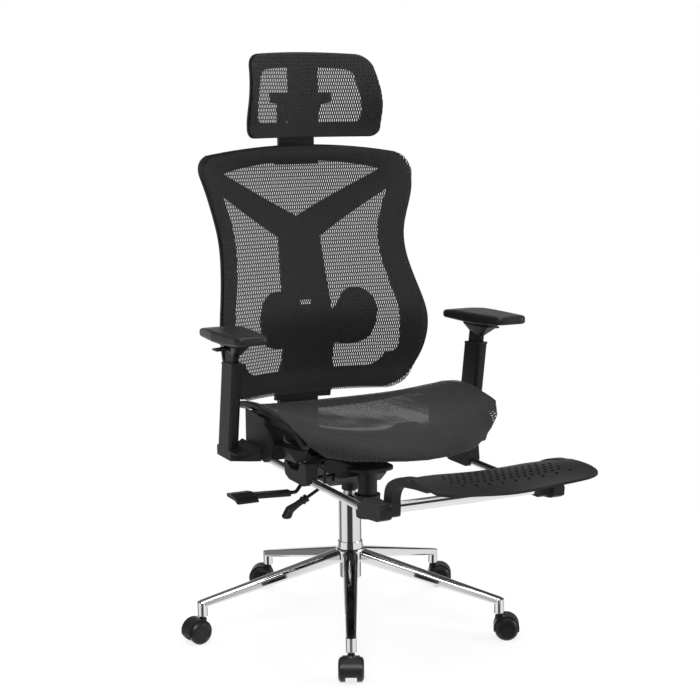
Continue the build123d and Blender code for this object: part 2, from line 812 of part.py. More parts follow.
with BuildPart() as seat_crossbars:
    # two folded channels tie the side panels to the tilt mechanism
    for bar_y in (-52, 50):
        with BuildSketch(Plane.XZ.offset(-bar_y - 17)):
            with BuildLine():
                Polyline(
                    (-199.5, 408),
                    (-199.5, 424),
                    (-150, 424),
                    (-100, 396),
                    (100, 396),
                    (150, 424),
                    (199.5, 424),
                    (199.5, 408),
                    (156, 408),
                    (106, PLATE_TOP),
                    (-106, PLATE_TOP),
                    (-156, 408),
                    close=True,
                )
            make_face()
        extrude(amount=34)
        with BuildSketch(Plane.XZ.offset(-bar_y - 14)):
            with BuildLine():
                Polyline(
                    (-196, 411),
                    (-196, 430),
                    (-148, 430),
                    (-98, 399),
                    (98, 399),
                    (148, 430),
                    (196, 430),
                    (196, 411),
                    (155, 411),
                    (105, PLATE_TOP + 3),
                    (-105, PLATE_TOP + 3),
                    (-155, 411),
                    close=True,
                )
            make_face()
        extrude(amount=28, mode=Mode.SUBTRACT)
save(seat_crossbars, "seat_crossbars")

with BuildPart() as rail_brackets:
    for side in (-1, 1):
        with BuildSketch(Plane.YZ.offset(side * (RAIL_X + 2))):
            with BuildLine():
                Polyline(
                    (-218, 398),
                    (-214, 426),
                    (-190, 426),
                    (-182, 414),
                    (-178, 406),
                    (-152, 403),
                    (-134, 405),
                    (-124, 412),
                    (-112, 417),
                    (-105, 408),
                    (-112, 386),
                    (-132, 379),
                    (-204, 379),
                    (-216, 384),
                    close=True,
                )
            make_face()
        extrude(amount=13, both=True)
        with BuildSketch(Plane.XZ.offset(-RAIL_BRACKET_BACK)):
            with Locations((side * RAIL_X, RAIL_Z)):
                Circle(RAIL_RADIUS + RUNNING)
        extrude(amount=400, both=True, mode=Mode.SUBTRACT)
save(rail_brackets, "rail_brackets")

# =====================================================================
# Arms
# =====================================================================

arm_lean = radians(ARM_LEAN)
sleeve_rise = radians(SLEEVE_RISE)
arm_up = Vector(0, -sin(arm_lean), cos(arm_lean))
SLEEVE_LENGTH = (ARM_TOP - ARM_FOOT_Z) / cos(arm_lean)
TRIGGER_Z = PAD_BOTTOM - 15


def arm_plane(side, along):
    """A plane square to the arm, the given distance up from the sleeve's mouth."""
    origin = Vector(side * ARM_X, ARM_TOP_Y, ARM_TOP) + arm_up * along
    return Plane(origin=origin, x_dir=(1, 0, 0), z_dir=arm_up)


def make_arm_sleeve(side, name):
    """The fixed upright with its foot, which runs in under the seat."""
    mouth_up = (0, sin(sleeve_rise), cos(sleeve_rise))
    mouth = Plane(origin=(side * ARM_X, ARM_TOP_Y, ARM_TOP), x_dir=(1, 0, 0), z_dir=mouth_up)
    with BuildPart() as sleeve:
        with BuildSketch(arm_plane(side, -SLEEVE_LENGTH - 12)):
            RectangleRounded(SLEEVE_WIDTH, SLEEVE_DEPTH, 7)
        extrude(amount=SLEEVE_LENGTH + 30)
        with BuildSketch(mouth.offset(-4)):
            RectangleRounded(SLEEVE_WIDTH + 3, SLEEVE_DEPTH + 3, 8)
        extrude(amount=4)
        # level the foot and run it inwards under the seat frame's strap
        with BuildSketch(Plane.XZ.offset(-18)):
            with BuildLine():
                Polyline(
                    (side * (ARM_X + SLEEVE_WIDTH / 2), ARM_FOOT_Z),
                    (side * (ARM_X + SLEEVE_WIDTH / 2), ARM_FOOT_Z + 20),
                    (side * (ARM_X - SLEEVE_WIDTH / 2), ARM_FOOT_Z + 30),
                    (side * (ARM_X - SLEEVE_WIDTH / 2 - 5), ARM_FOOT_Z + 20),
                    (side * (ARM_X - SLEEVE_WIDTH / 2 - 16), ARM_FOOT_Z + 16.5),
                    (side * (SIDE_OUTER_X + STRAP_THICKNESS), ARM_FOOT_Z + 28),
                    (side * (SIDE_OUTER_X + STRAP_THICKNESS), ARM_FOOT_Z),
                    close=True,
                )
            make_face()
        extrude(amount=106)
        with BuildSketch(Plane.XY.offset(ARM_FOOT_Z - 1)):
            with BuildLine():
                Polyline((side * 302, -56), (side * 264, -80), (side * 240, -90), (side * 302, -90), close=True)
            make_face()
        extrude(amount=18, mode=Mode.SUBTRACT)
        with BuildSketch(Plane.XY.offset(ARM_FOOT_Z)):
            Rectangle(800, 400)
        extrude(amount=-60, mode=Mode.SUBTRACT)
        with BuildSketch(mouth):
            Rectangle(200, 200)
        extrude(amount=60, mode=Mode.SUBTRACT)
        with BuildSketch(arm_plane(side, -150)):
            RectangleRounded(POST_WIDTH + 2 * GUIDE_GAP, POST_DEPTH + 2 * GUIDE_GAP, 4)
        extrude(amount=170, mode=Mode.SUBTRACT)
    save(sleeve, f"arm_sleeve_{name}")


def make_arm_post(side, name):
    """The sliding post, flared at its top to carry the pad."""
    with BuildPart() as post:
        with BuildSketch(arm_plane(side, -110)):
            RectangleRounded(POST_WIDTH, POST_DEPTH, 4)
        extrude(amount=130)
        head = Vector(side * ARM_X, ARM_TOP_Y, ARM_TOP) + arm_up * 20
        with BuildSketch(Plane(origin=head, x_dir=(1, 0, 0), z_dir=arm_up)):
            RectangleRounded(POST_WIDTH, POST_DEPTH, 4)
        with BuildSketch(Plane.XY.offset(PAD_BOTTOM - 8)):
            with Locations((side * (ARM_X + 2), STUD_Y)):
                RectangleRounded(34, 104, 9)
        loft()
        with BuildSketch(Plane.XY.offset(PAD_BOTTOM - 8)):
            with Locations((side * (ARM_X + 2), STUD_Y)):
                RectangleRounded(34, 104, 9)
        extrude(amount=7.5)
        # pivot stud of the pad
        with BuildSketch(Plane.XY.offset(PAD_BOTTOM - 2)):
            with Locations((side * (ARM_X + 2), STUD_Y)):
                Circle(9)
        extrude(amount=12)
        # pocket of the height trigger
        with BuildSketch(Plane.XY.offset(TRIGGER_Z - 6)):
            with Locations((side * (ARM_X + 18), STUD_Y)):
                Rectangle(30, 26)
        extrude(amount=12, mode=Mode.SUBTRACT)
    save(post, f"arm_post_{name}")


def make_arm_trigger(side, name):
    """The finger lever that unlocks the arm's height, with its hinge barrel."""
    with BuildPart() as trigger:
        with BuildSketch(Plane.XZ.offset(-STUD_Y)):
            with BuildLine():
                Polyline(
                    (side * (ARM_X + 8), TRIGGER_Z + 3),
                    (side * (ARM_X + 20), TRIGGER_Z + 3),
                    (side * (ARM_X + 44), TRIGGER_Z + 1),
                    (side * (ARM_X + 43), TRIGGER_Z - 2.5),
                    (side * (ARM_X + 19), TRIGGER_Z - 2.5),
                    (side * (ARM_X + 8), TRIGGER_Z - 3),
                    close=True,
                )
            make_face()
            with Locations((side * (ARM_X + 8), TRIGGER_Z)):
                Circle(3.4)
        extrude(amount=12, both=True)
    save(trigger, f"arm_trigger_{name}")


def make_arm_pad(side, name):
    """The cushioned pad: a rounded slab whose underside rises to the front."""
    with BuildPart() as pad:
        with BuildSketch(Plane.XY.offset(PAD_BOTTOM)) as plan:
            with BuildLine():
                Polyline(*[(side * x, y) for x, y in PAD_PLAN], close=True)
            make_face()
            fillet(plan.vertices(), 17)
        extrude(amount=60)
        with BuildSketch(Plane.YZ):
            with BuildLine():
                Polyline(*PAD_SIDE, close=True)
            make_face()
        extrude(amount=400, both=True, mode=Mode.INTERSECT)
        walls = pad.faces().filter_by(lambda face: abs(face.normal_at(face.center()).Z) < 0.01)
        tops = pad.faces().filter_by(lambda face: face.normal_at(face.center()).Z > 0.5)
        unders = pad.faces().filter_by(lambda face: face.normal_at(face.center()).Z < -0.5)
        wall_edges = set(walls.edges())
        fillet([edge for edge in tops.edges() if edge in wall_edges], 6)
        fillet([edge for edge in unders.edges() if edge in wall_edges], 5)
        with BuildSketch(Plane.XY.offset(PAD_BOTTOM - 1)):
            with Locations((side * (ARM_X + 2), STUD_Y)):
                Circle(9 + RUNNING)
        extrude(amount=13, mode=Mode.SUBTRACT)
    save(pad, f"arm_pad_{name}")


for arm_side, arm_name in ((-1, "right"), (1, "left")):
    make_arm_sleeve(arm_side, arm_name)
    make_arm_post(arm_side, arm_name)
    make_arm_trigger(arm_side, arm_name)
    make_arm_pad(arm_side, arm_name)

# =====================================================================
# Backrest
# =====================================================================


def bowed_strip(z, side_y, middle_y, front, thickness, reach):
    """A level strip bowed away from the sitter, as thick as given."""
    with BuildSketch(Plane.XY.offset(z)) as strip:
        with BuildLine():
            ThreePointArc((-reach, side_y + front), (0, middle_y + front), (reach, side_y + front))
            Line((reach, side_y + front), (reach, side_y + front + thickness))
            ThreePointArc(
                (reach, side_y + front + thickness),
                (0, middle_y + front + thickness),
                (-reach, side_y + front + thickness),
            )
            Line((-reach, side_y + front + thickness), (-reach, side_y + front))
        make_face()
    return strip.sketch


def bowed_strips(rows, front, thickness, reach):
    """The strips of a bowed shell from its bottom row to its top row."""
    return [bowed_strip(z, side_y, middle_y, front, thickness, reach) for z, side_y, middle_y in rows]


def back_outline(inset_side, inset_top, inset_bottom):
    """The outline of the backrest seen from the front, drawn inwards by the insets."""
    sides = [(w - inset_side, z) for w, z in BACK_SIDES[1:-1]]
    low = (BACK_SIDES[0][0] - inset_side, BACK_SIDES[0][1] + inset_bottom * 0.8)
    high = (BACK_SIDES[-1][0] - inset_side, BACK_SIDES[-1][1] - inset_top * 0.75)
    top_corner = (BACK_CORNER[0] - inset_side, BACK_CORNER[1] - inset_top)
    mid_corner = ((high[0] + top_corner[0]) / 2 + 6, (high[1] + top_corner[1]) / 2 + 4)
    low_corner = (low[0] - 48, BACK_BOTTOM + inset_bottom)
    low_bend = (low[0] - 13, low[1] - 21)
    with BuildSketch(Plane.XZ) as outline:
        with BuildLine():
            Spline(low, *sides, high)
            ThreePointArc(high, mid_corner, top_corner)
            ThreePointArc(top_corner, (0, BACK_CROWN - inset_top), (-top_corner[0], top_corner[1]))
            ThreePointArc((-top_corner[0], top_corner[1]), (-mid_corner[0], mid_corner[1]), (-high[0], high[1]))
            Spline((-high[0], high[1]), *[(-w, z) for w, z in reversed(sides)], (-low[0], low[1]))
            ThreePointArc((-low[0], low[1]), (-low_bend[0], low_bend[1]), (-low_corner[0], low_corner[1]))
            Line((-low_corner[0], low_corner[1]), low_corner)
            ThreePointArc(low_corner, low_bend, low)
        make_face()
    return outline.sketch


with BuildPart() as back_rim:
    loft(sections=bowed_strips(BACK_SHELL, 0, SHELL_THICKNESS, SHELL_HALF_WIDTH))
    with BuildSketch(Plane.XZ) as rim_shape:
        add(back_outline(0, 0, 0))
        add(back_outline(RIM_WIDTH, 36, 50), mode=Mode.SUBTRACT)
    extrude(amount=500, both=True, mode=Mode.INTERSECT)
save(back_rim, "back_rim")

with BuildPart() as back_mesh:
    loft(sections=bowed_strips(BACK_MESH, 0, 1.6, SHELL_HALF_WIDTH))
    with BuildSketch(Plane.XZ):
        add(back_outline(3, 3, 3))
    extrude(amount=500, both=True, mode=Mode.INTERSECT)
save(back_mesh, "back_mesh")

SPINE_RIGHT = (
    (0, 884),
    (210, 996),
    (222, 985),
    (216, 952),
    (50, 838),
    (52, 800),
    (56, 722),
    (60, 640),
    (62, 560),
    (69, 505),
    (69, 466),
)

with BuildPart() as back_spine:
    loft(sections=bowed_strips(BACK_SHELL, SHELL_THICKNESS + 0.2, 12, SHELL_HALF_WIDTH))
    with BuildSketch(Plane.XZ):
        with BuildLine():
            Polyline(*SPINE_RIGHT, *[(-x, z) for x, z in reversed(SPINE_RIGHT[1:])], close=True)
        make_face()
    extrude(amount=500, both=True, mode=Mode.INTERSECT)
    # slot along which the lumbar pad is moved
    with BuildSketch(Plane.XZ):
        with Locations((0, 662)):
            Rectangle(30 + 2 * GUIDE_GAP, 40 + 2 * LUMBAR_TRAVEL + 1)
    extrude(amount=-400, mode=Mode.SUBTRACT)
save(back_spine, "back_spine")

LUMBAR_SHELL = ((560, 100, 198), (620, 99, 167), (673, 102, 152), (740, 127, 165))
LUMBAR_RIGHT = ((0, 690), (52, 694), (66, 716), (92, 727), (122, 716), (137, 692), (137, 640), (126, 612), (98, 598), (60, 600))

with BuildPart() as lumbar_pad:
    loft(sections=bowed_strips(LUMBAR_SHELL, 0, 14, SHELL_HALF_WIDTH))
    with BuildSketch(Plane.XZ):
        with BuildLine():
            Spline(*LUMBAR_RIGHT)
            Spline(*[(-x, z) for x, z in LUMBAR_RIGHT])
            Line((60, 600), (-60, 600))
        make_face()
    extrude(amount=500, both=True, mode=Mode.INTERSECT)
    # shoe that rides in the slot of the spine
    with BuildSketch(Plane.XZ.offset(-160)):
        with Locations((0, 662)):
            Rectangle(30, 40)
    extrude(amount=-72)
    with BuildSketch(Plane.XZ.offset(-231)):
        with Locations((0, 662)):
            RectangleRounded(46, 46, 8)
    extrude(amount=-5)
save(lumbar_pad, "lumbar_pad")

with BuildPart() as recline_bar:
    # bent bar from the recline hinge, under and behind the seat, to the spine
    with BuildSketch(Plane.YZ):
        with BuildLine():
            Polyline(
                (recline_y - 8, recline_z - 13),
                (recline_y + 24, recline_z - 13),
                (244, 352),
                (278, 386),
                (286, 470),
                (286, 520),
                (268, 520),
                (266, 470),
                (262, 398),
                (238, 372),
                (recline_y + 24, recline_z + 13),
                (recline_y - 8, recline_z + 13),
                close=True,
            )
        make_face()
    extrude(amount=BARREL_HALF_WIDTH, both=True)
    fillet(recline_bar.edges().filter_by(Axis.X).group_by(Axis.Y)[-1], 4)
    with BuildSketch(Plane.YZ):
        with Locations(RECLINE_AXIS):
            Circle(BARREL_RADIUS)
    extrude(amount=BARREL_HALF_WIDTH, both=True)
    with BuildSketch(Plane.YZ):
        with Locations(RECLINE_AXIS):
            Circle(PIVOT_RADIUS + RUNNING)
    extrude(amount=BARREL_HALF_WIDTH + 1, both=True, mode=Mode.SUBTRACT)
save(recline_bar, "recline_bar")

# =====================================================================
# Headrest
# =====================================================================


def head_outline(inset, rounding):
    """The outline of the headrest seen from the front, drawn inwards by the inset."""
    bottom, top = HEAD_SIDES[0][1], HEAD_SIDES[-1][1]
    shrink = (top - bottom - 2 * inset) / (top - bottom)
    right = [(w - inset, bottom + inset + (z - bottom) * shrink) for w, z in HEAD_SIDES]
    left = [(-w, z) for w, z in reversed(right)]
    with BuildSketch(Plane.XZ) as outline:
        with BuildLine():
            Spline(*right)
            ThreePointArc(right[-1], (0, HEAD_CROWN - inset), left[0])
            Spline(*left)
            Line(left[-1], right[0])
        make_face()
        fillet(outline.vertices().group_by(Axis.Y)[-1], HEAD_CORNERS[1] * rounding)
        fillet(outline.vertices().group_by(Axis.Y)[0], HEAD_CORNERS[0] * rounding)
    return outline.sketch


with BuildPart() as headrest_frame:
    loft(sections=bowed_strips(HEAD_SHELL, 0, 9, 175))
    with BuildSketch(Plane.XZ):
        add(head_outline(0, 1))
        add(head_outline(33, 0.6), mode=Mode.SUBTRACT)
        with Locations((0, 1157)):
            Rectangle(2 * HEAD_POST_HALF_WIDTH, 150)
    extrude(amount=500, both=True, mode=Mode.INTERSECT)
save(headrest_frame, "headrest_frame")

with BuildPart() as headrest_mesh:
    loft(sections=bowed_strips(HEAD_MESH, 0, 1.6, 175))
    with BuildSketch(Plane.XZ):
        add(head_outline(2, 0.95))
    extrude(amount=500, both=True, mode=Mode.INTERSECT)
save(headrest_mesh, "headrest_mesh")

pivot_y, pivot_z = HEAD_PIVOT
HANGER_HALF_WIDTH = 43.0
HANGER_THICKNESS = 11.0
GUIDE_HALF_WIDTH = HANGER_HALF_WIDTH + 8

with BuildPart() as headrest_bracket:
    # plate on the back of the headrest, with lugs that reach to the pivot
    with BuildSketch(Plane.XZ.offset(-229)):
        with BuildLine():
            Polyline(
                (-35, 1098),
                (35, 1098),
                (48, 1136),
                (74, 1140),
                (74, 1162),
                (-74, 1162),
                (-74, 1140),
                (-48, 1136),
                close=True,
            )
        make_face()
    extrude(amount=-6)
    for lug_x in (-22, 14):
        with BuildSketch(Plane.YZ.offset(lug_x)):
            with BuildLine():
                Polyline(
                    (234, pivot_z - 20),
                    (pivot_y, pivot_z - 9),
                    (pivot_y + 7, pivot_z - 6),
                    (pivot_y + 7, pivot_z + 6),
                    (pivot_y, pivot_z + 9),
                    (234, pivot_z + 16),
                    close=True,
                )
            make_face()
        extrude(amount=8)
    with BuildSketch(Plane.YZ.offset(-27)):
        with Locations(HEAD_PIVOT):
            Circle(4 + RUNNING)
    extrude(amount=54, mode=Mode.SUBTRACT)
save(headrest_bracket, "headrest_bracket")

with BuildPart() as headrest_hanger:
    # U-shaped slide plate with the pivot pin across its window
    with BuildSketch(Plane.XZ.offset(-pivot_y - HANGER_THICKNESS / 2)):
        with Locations((0, 1079)):
            RectangleRounded(2 * HANGER_HALF_WIDTH, 150, 12)
        with Locations((0, 1104)):
            RectangleRounded(2 * HANGER_HALF_WIDTH - 36, 72, 6, mode=Mode.SUBTRACT)
    extrude(amount=HANGER_THICKNESS)
    with BuildSketch(Plane.YZ.offset(-30)):
        with Locations(HEAD_PIVOT):
            Circle(4)
    extrude(amount=60)
save(headrest_hanger, "headrest_hanger")

with BuildPart() as headrest_guide:
    # channel behind the crown of the back in which the hanger slides
    with BuildSketch(Plane.XY.offset(1002)):
        with BuildLine():
            ThreePointArc(
                (-GUIDE_HALF_WIDTH, pivot_y - 8.8),
                (0, pivot_y - 6.2),
                (GUIDE_HALF_WIDTH, pivot_y - 8.8),
            )
            Polyline(
                (GUIDE_HALF_WIDTH, pivot_y - 8.8),
                (GUIDE_HALF_WIDTH, pivot_y + 9.5),
                (-GUIDE_HALF_WIDTH, pivot_y + 9.5),
                (-GUIDE_HALF_WIDTH, pivot_y - 8.8),
            )
        make_face()
    extrude(amount=40)
    with BuildSketch(Plane.XY.offset(1000)):
        with Locations((0, pivot_y)):
            Rectangle(2 * (HANGER_HALF_WIDTH + GUIDE_GAP), HANGER_THICKNESS + 2 * GUIDE_GAP)
    extrude(amount=60, mode=Mode.SUBTRACT)
save(headrest_guide, "headrest_guide")

# =====================================================================
# Footrest
# =====================================================================

with BuildPart() as footrest_rails:
    with BuildSketch(Plane.XZ.offset(-RAIL_BACK)):
        with Locations((-RAIL_X, RAIL_Z), (RAIL_X, RAIL_Z)):
            Circle(RAIL_RADIUS)
            Circle(RAIL_RADIUS - 1.5, mode=Mode.SUBTRACT)
    extrude(amount=RAIL_BACK - TUBE_Y - 20)
save(footrest_rails, "footrest_rails")

with BuildPart() as footrest_corners:
    for side in (-1, 1):
        with BuildSketch(Plane.YZ.offset(side * 186)):
            with BuildLine():
                Polyline(
                    (TUBE_Y + 64, RAIL_Z - 10),
                    (TUBE_Y + 64, RAIL_Z + 10),
                    (TUBE_Y + 30, TUBE_Z + 16),
                    (TUBE_Y - 20, TUBE_Z + 15),
                    (TUBE_Y - 32, TUBE_Z + 4),
                    (TUBE_Y - 30, TUBE_Z - 12),
                    (TUBE_Y - 18, TUBE_Z - 18),
                    (TUBE_Y + 30, RAIL_Z - 10),
                    close=True,
                )
            make_face()
        extrude(amount=12, both=True)
        with BuildSketch(Plane.XZ.offset(-TUBE_Y - 100)):
            with Locations((side * RAIL_X, RAIL_Z)):
                Circle(RAIL_RADIUS)
        extrude(amount=80, mode=Mode.SUBTRACT)
        with BuildSketch(Plane.YZ.offset(side * 178 - 12)):
            with Locations((TUBE_Y, TUBE_Z)):
                Circle(CROSS_RADIUS)
        extrude(amount=24, mode=Mode.SUBTRACT)
    fillet(footrest_corners.edges().filter_by(Axis.X).filter_by(lambda e: e.length > 23), 5)
save(footrest_corners, "footrest_corners")

with BuildPart() as cross_tube:
    with BuildSketch(Plane.YZ.offset(-188)):
        with Locations((TUBE_Y, TUBE_Z)):
            Circle(CROSS_RADIUS)
            Circle(CROSS_RADIUS - 1.5, mode=Mode.SUBTRACT)
    extrude(amount=376)
save(cross_tube, "cross_tube")

PAD_SECTIONS = (
    (-172, ((-590, 476), (-640, 480), (-690, 475))),
    (-150, ((-580, 474), (-640, 479), (-704, 471))),
    (-90, ((-560, 469), (-640, 474), (-700, 464))),
    (0, ((-556, 465), (-640, 470), (-694, 457))),
    (90, ((-560, 469), (-640, 474), (-700, 464))),
    (150, ((-580, 474), (-640, 479), (-704, 471))),
    (172, ((-590, 476), (-640, 480), (-690, 475))),
)
PAD_FRONT = (
    (-171, -606),
    (-171, -650),
    (-163, -700),
    (-120, -714),
    (0, -698),
    (120, -714),
    (163, -700),
    (171, -650),
    (171, -606),
)
PAD_REAR = (
    (171, -606),
    (160, -578),
    (130, -562),
    (70, -560),
    (0, -556),
    (-70, -560),
    (-130, -562),
    (-160, -578),
    (-171, -606),
)
SLOT_ROWS = ((-588, 7, 14), (-602, 8, 14), (-616, 8, 14), (-630, 8, 14), (-644, 8, 14), (-659, 4, 28))


# curved arms that carry the pad round the cross tube, as (Y, Z)
ARM_OVER = (
    (-494, 396),
    (-494, 420),
    (-501, 441),
    (-529, 461),
    (-564, 473),
    (-609, 478),
    (-646, 477),
    (-667, 471),
)
ARM_UNDER = ((-660, 465), (-646, 464), (-609, 461), (-578, 457), (-545, 449), (-530, 432), (-528, 412))


def pad_strip(x, profile):
    """A fore-and-aft strip of the foot pad."""
    with BuildSketch(Plane.YZ.offset(x)) as strip:
        with BuildLine():
            ThreePointArc(*profile)
            Line(profile[2], (profile[2][0], profile[2][1] - 5))
            ThreePointArc(*[(y, z - 5) for y, z in reversed(profile)])
            Line((profile[0][0], profile[0][1] - 5), profile[0])
        make_face()
    return strip.sketch


with BuildPart() as footrest_pad:
    loft(sections=[pad_strip(x, profile) for x, profile in PAD_SECTIONS])
    with BuildSketch(Plane.XY.offset(440)):
        with BuildLine():
            Spline(*PAD_FRONT)
            Spline(*PAD_REAR)
        make_face()
    extrude(amount=100, mode=Mode.INTERSECT)
    # staggered rows of vent slots
    with BuildSketch(Plane.XY.offset(440)):
        for row, (row_y, half_count, pitch) in enumerate(SLOT_ROWS):
            shift = pitch / 2 * (row % 2)
            for index in range(-half_count, half_count + 1):
                with Locations((index * pitch + shift, row_y - abs(index * pitch) * 0.06)):
                    Rectangle(5, 8)
    extrude(amount=100, mode=Mode.SUBTRACT)
    for side in (-1, 1):
        with BuildSketch(Plane.YZ.offset(side * PAD_ARM_X - 9)):
            with BuildLine():
                Spline(*ARM_OVER)
                Line(ARM_OVER[-1], ARM_UNDER[0])
                Spline(*ARM_UNDER)
                Polyline(ARM_UNDER[-1], (-527, 392), (-522, 388), (-499, 388), ARM_OVER[0])
            make_face()
        extrude(amount=18)
        with BuildSketch(Plane.YZ.offset(side * PAD_ARM_X - 10)):
            with Locations((TUBE_Y, TUBE_Z)):
                Circle(CROSS_RADIUS + RUNNING)
        extrude(amount=20, mode=Mode.SUBTRACT)
save(footrest_pad, "footrest_pad")
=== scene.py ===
import json
from math import cos, radians, sin

import bmesh
import bpy
from mathutils import Matrix, Vector
from mathutils.bvhtree import BVHTree


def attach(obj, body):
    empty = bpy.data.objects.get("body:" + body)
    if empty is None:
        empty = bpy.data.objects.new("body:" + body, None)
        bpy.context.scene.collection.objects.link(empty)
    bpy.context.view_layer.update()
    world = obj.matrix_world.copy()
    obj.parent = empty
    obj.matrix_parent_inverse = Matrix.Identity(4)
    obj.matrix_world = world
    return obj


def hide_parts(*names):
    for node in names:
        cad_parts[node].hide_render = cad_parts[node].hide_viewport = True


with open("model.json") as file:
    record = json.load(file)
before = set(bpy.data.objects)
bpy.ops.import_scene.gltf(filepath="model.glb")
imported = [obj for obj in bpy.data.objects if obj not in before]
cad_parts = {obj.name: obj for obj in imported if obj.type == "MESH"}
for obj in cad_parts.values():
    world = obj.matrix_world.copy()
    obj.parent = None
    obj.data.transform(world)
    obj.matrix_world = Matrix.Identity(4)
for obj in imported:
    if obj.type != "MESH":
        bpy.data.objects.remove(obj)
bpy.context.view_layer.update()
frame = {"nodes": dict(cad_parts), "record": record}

# Lengths are in metres, and grey levels are linear, from 0 for black to 1 for white.
NODES = frame["nodes"]
SLOT_OF = {row["node"]: row["material_slot"] for row in frame["record"]["subparts"]}
BODY_OF = {
    node: body
    for body, members in frame["record"]["behaviour"]["bodies"].items()
    for node in members
}
SCENE = bpy.context.scene

# =====================================================================
# Node helpers
# =====================================================================


def new_material(name):
    """An empty node material with its output node."""
    material = bpy.data.materials.new(name)
    material.use_nodes = True
    tree = material.node_tree
    tree.nodes.clear()
    output = tree.nodes.new("ShaderNodeOutputMaterial")
    return material, tree, output


def add_node(tree, kind, inputs=None, **settings):
    """A node with its settings and with its inputs set or linked."""
    node = tree.nodes.new(kind)
    for key, value in settings.items():
        setattr(node, key, value)
    for key, value in (inputs or {}).items():
        socket = node.inputs[key]
        if isinstance(value, bpy.types.NodeSocket):
            tree.links.new(value, socket)
        else:
            socket.default_value = value
    return node


def math_node(tree, operation, *values):
    """The result of a calculation on numbers or sockets."""
    node = add_node(tree, "ShaderNodeMath", dict(enumerate(values)), operation=operation)
    return node.outputs[0]


def remap(tree, value, start, end, low=0.0, high=1.0, **settings):
    """A value between start and end, spread over low to high and held there outside."""
    inputs = {"Value": value, "From Min": start, "From Max": end, "To Min": low, "To Max": high}
    return add_node(tree, "ShaderNodeMapRange", inputs, **settings).outputs["Result"]


def grey(level, tint=0.0):
    """A near-neutral colour, a touch bluer with a higher tint."""
    return (level, level, level * (1.0 + tint), 1.0)


def between(tree, share, first, second):
    """The colour at a share of the way from the first to the second."""
    inputs = {"Factor": share, "A": first, "B": second}
    return add_node(tree, "ShaderNodeMix", inputs, data_type="RGBA").outputs["Result"]


def ramp(tree, factor, stops):
    """The colour of a ramp with the given positions and grey levels."""
    node = add_node(tree, "ShaderNodeValToRGB", {"Fac": factor})
    elements = node.color_ramp.elements
    while len(elements) < len(stops):
        elements.new(0.5)
    for element, (position, level) in zip(elements, stops):
        element.position = position
        element.color = grey(level)
    return node.outputs["Color"]


def noise(tree, coordinates, scale, detail):
    """Noise from 0 to 1, its scale in waves per unit of the coordinates."""
    roughness = 0.55
    inputs = {"Vector": coordinates, "Scale": scale, "Detail": detail, "Roughness": roughness}
    return add_node(tree, "ShaderNodeTexNoise", inputs).outputs["Fac"]


def relief(tree, height, strength, depth):
    """The surface normal over a relief of the given depth."""
    inputs = {"Strength": strength, "Distance": depth, "Height": height}
    return add_node(tree, "ShaderNodeBump", inputs).outputs["Normal"]


def object_space(tree):
    """The part's own coordinates."""
    return add_node(tree, "ShaderNodeTexCoord").outputs["Object"]


def principled(tree, output, inputs):
    """The surface's shader."""
    shader = add_node(tree, "ShaderNodeBsdfPrincipled", inputs)
    tree.links.new(shader.outputs["BSDF"], output.inputs["Surface"])


# =====================================================================
# Moulded plastic and paint
# =====================================================================

PLASTIC_TINT = 0.02
TONE_SCALE = 22.0
TONE_CHANGE = 0.12
WORN_TONE = 2.5
# how sharp an edge is, from flat at 0.5, with how worn it is
EDGE_WEAR = ((0.5, 0.0), (0.56, 1.0))
GRAIN_DEPTH = 0.0003
GRAIN_SMOOTHER = 0.05
GRAIN_ROUGHER = 0.07


def moulded(name, level, roughness, grain=1400.0, bump=0.25, worn=0.3, specular=0.3):
    """Moulded plastic or paint: fine spark grain, slight tone changes and paler worn edges."""
    material, tree, output = new_material(name)
    space = object_space(tree)
    tone = noise(tree, space, TONE_SCALE, 4.0)
    fine = noise(tree, space, grain, 2.0)
    geometry = add_node(tree, "ShaderNodeNewGeometry")
    edge = ramp(tree, geometry.outputs["Pointiness"], EDGE_WEAR)
    darker = grey(level * (1.0 - TONE_CHANGE), PLASTIC_TINT)
    paler = grey(level * (1.0 + TONE_CHANGE), PLASTIC_TINT)
    base = between(tree, tone, darker, paler)
    smoothest = roughness - GRAIN_SMOOTHER
    roughest = roughness + GRAIN_ROUGHER
    worn_share = math_node(tree, "MULTIPLY", edge, worn)
    colour = between(tree, worn_share, base, grey(level * WORN_TONE, PLASTIC_TINT))
    surface = {
        "Base Color": colour,
        "Roughness": remap(tree, fine, 0.0, 1.0, smoothest, roughest),
        "Specular IOR Level": specular,
        "Normal": relief(tree, fine, bump, GRAIN_DEPTH),
    }
    principled(tree, output, surface)
    return material


# =====================================================================
# Plated and ground metal
# =====================================================================

METAL_TINT = 0.015
MARKS_SCALE = 90.0
# shares of the metal's roughness where its marks are least and most
MARKS_LEAST = 0.7
MARKS_MOST = 1.4
STREAK_SCALES = (900.0, 900.0, 30.0)
STREAK_DEPTH = 0.0002
STREAK_STRENGTH = 0.02


def metal(name, level, roughness, streak=0.0):
    """Plated or ground metal, with faint handling marks and, where ground, fine streaks."""
    material, tree, output = new_material(name)
    space = object_space(tree)
    marks = noise(tree, space, MARKS_SCALE, 5.0)
    stretched = add_node(tree, "ShaderNodeMapping", {"Vector": space, "Scale": STREAK_SCALES})
    streaks = noise(tree, stretched.outputs["Vector"], 1.0, 2.0)
    darker = grey(level * (1.0 - streak), METAL_TINT)
    smoothest = roughness * MARKS_LEAST
    roughest = roughness * MARKS_MOST
    surface = {
        "Base Color": between(tree, streaks, darker, grey(level, METAL_TINT)),
        "Metallic": 1.0,
        "Roughness": remap(tree, marks, 0.0, 1.0, smoothest, roughest),
        "Normal": relief(tree, streaks, STREAK_STRENGTH, STREAK_DEPTH),
    }
    principled(tree, output, surface)
    return material


# =====================================================================
# Knitted net
# =====================================================================

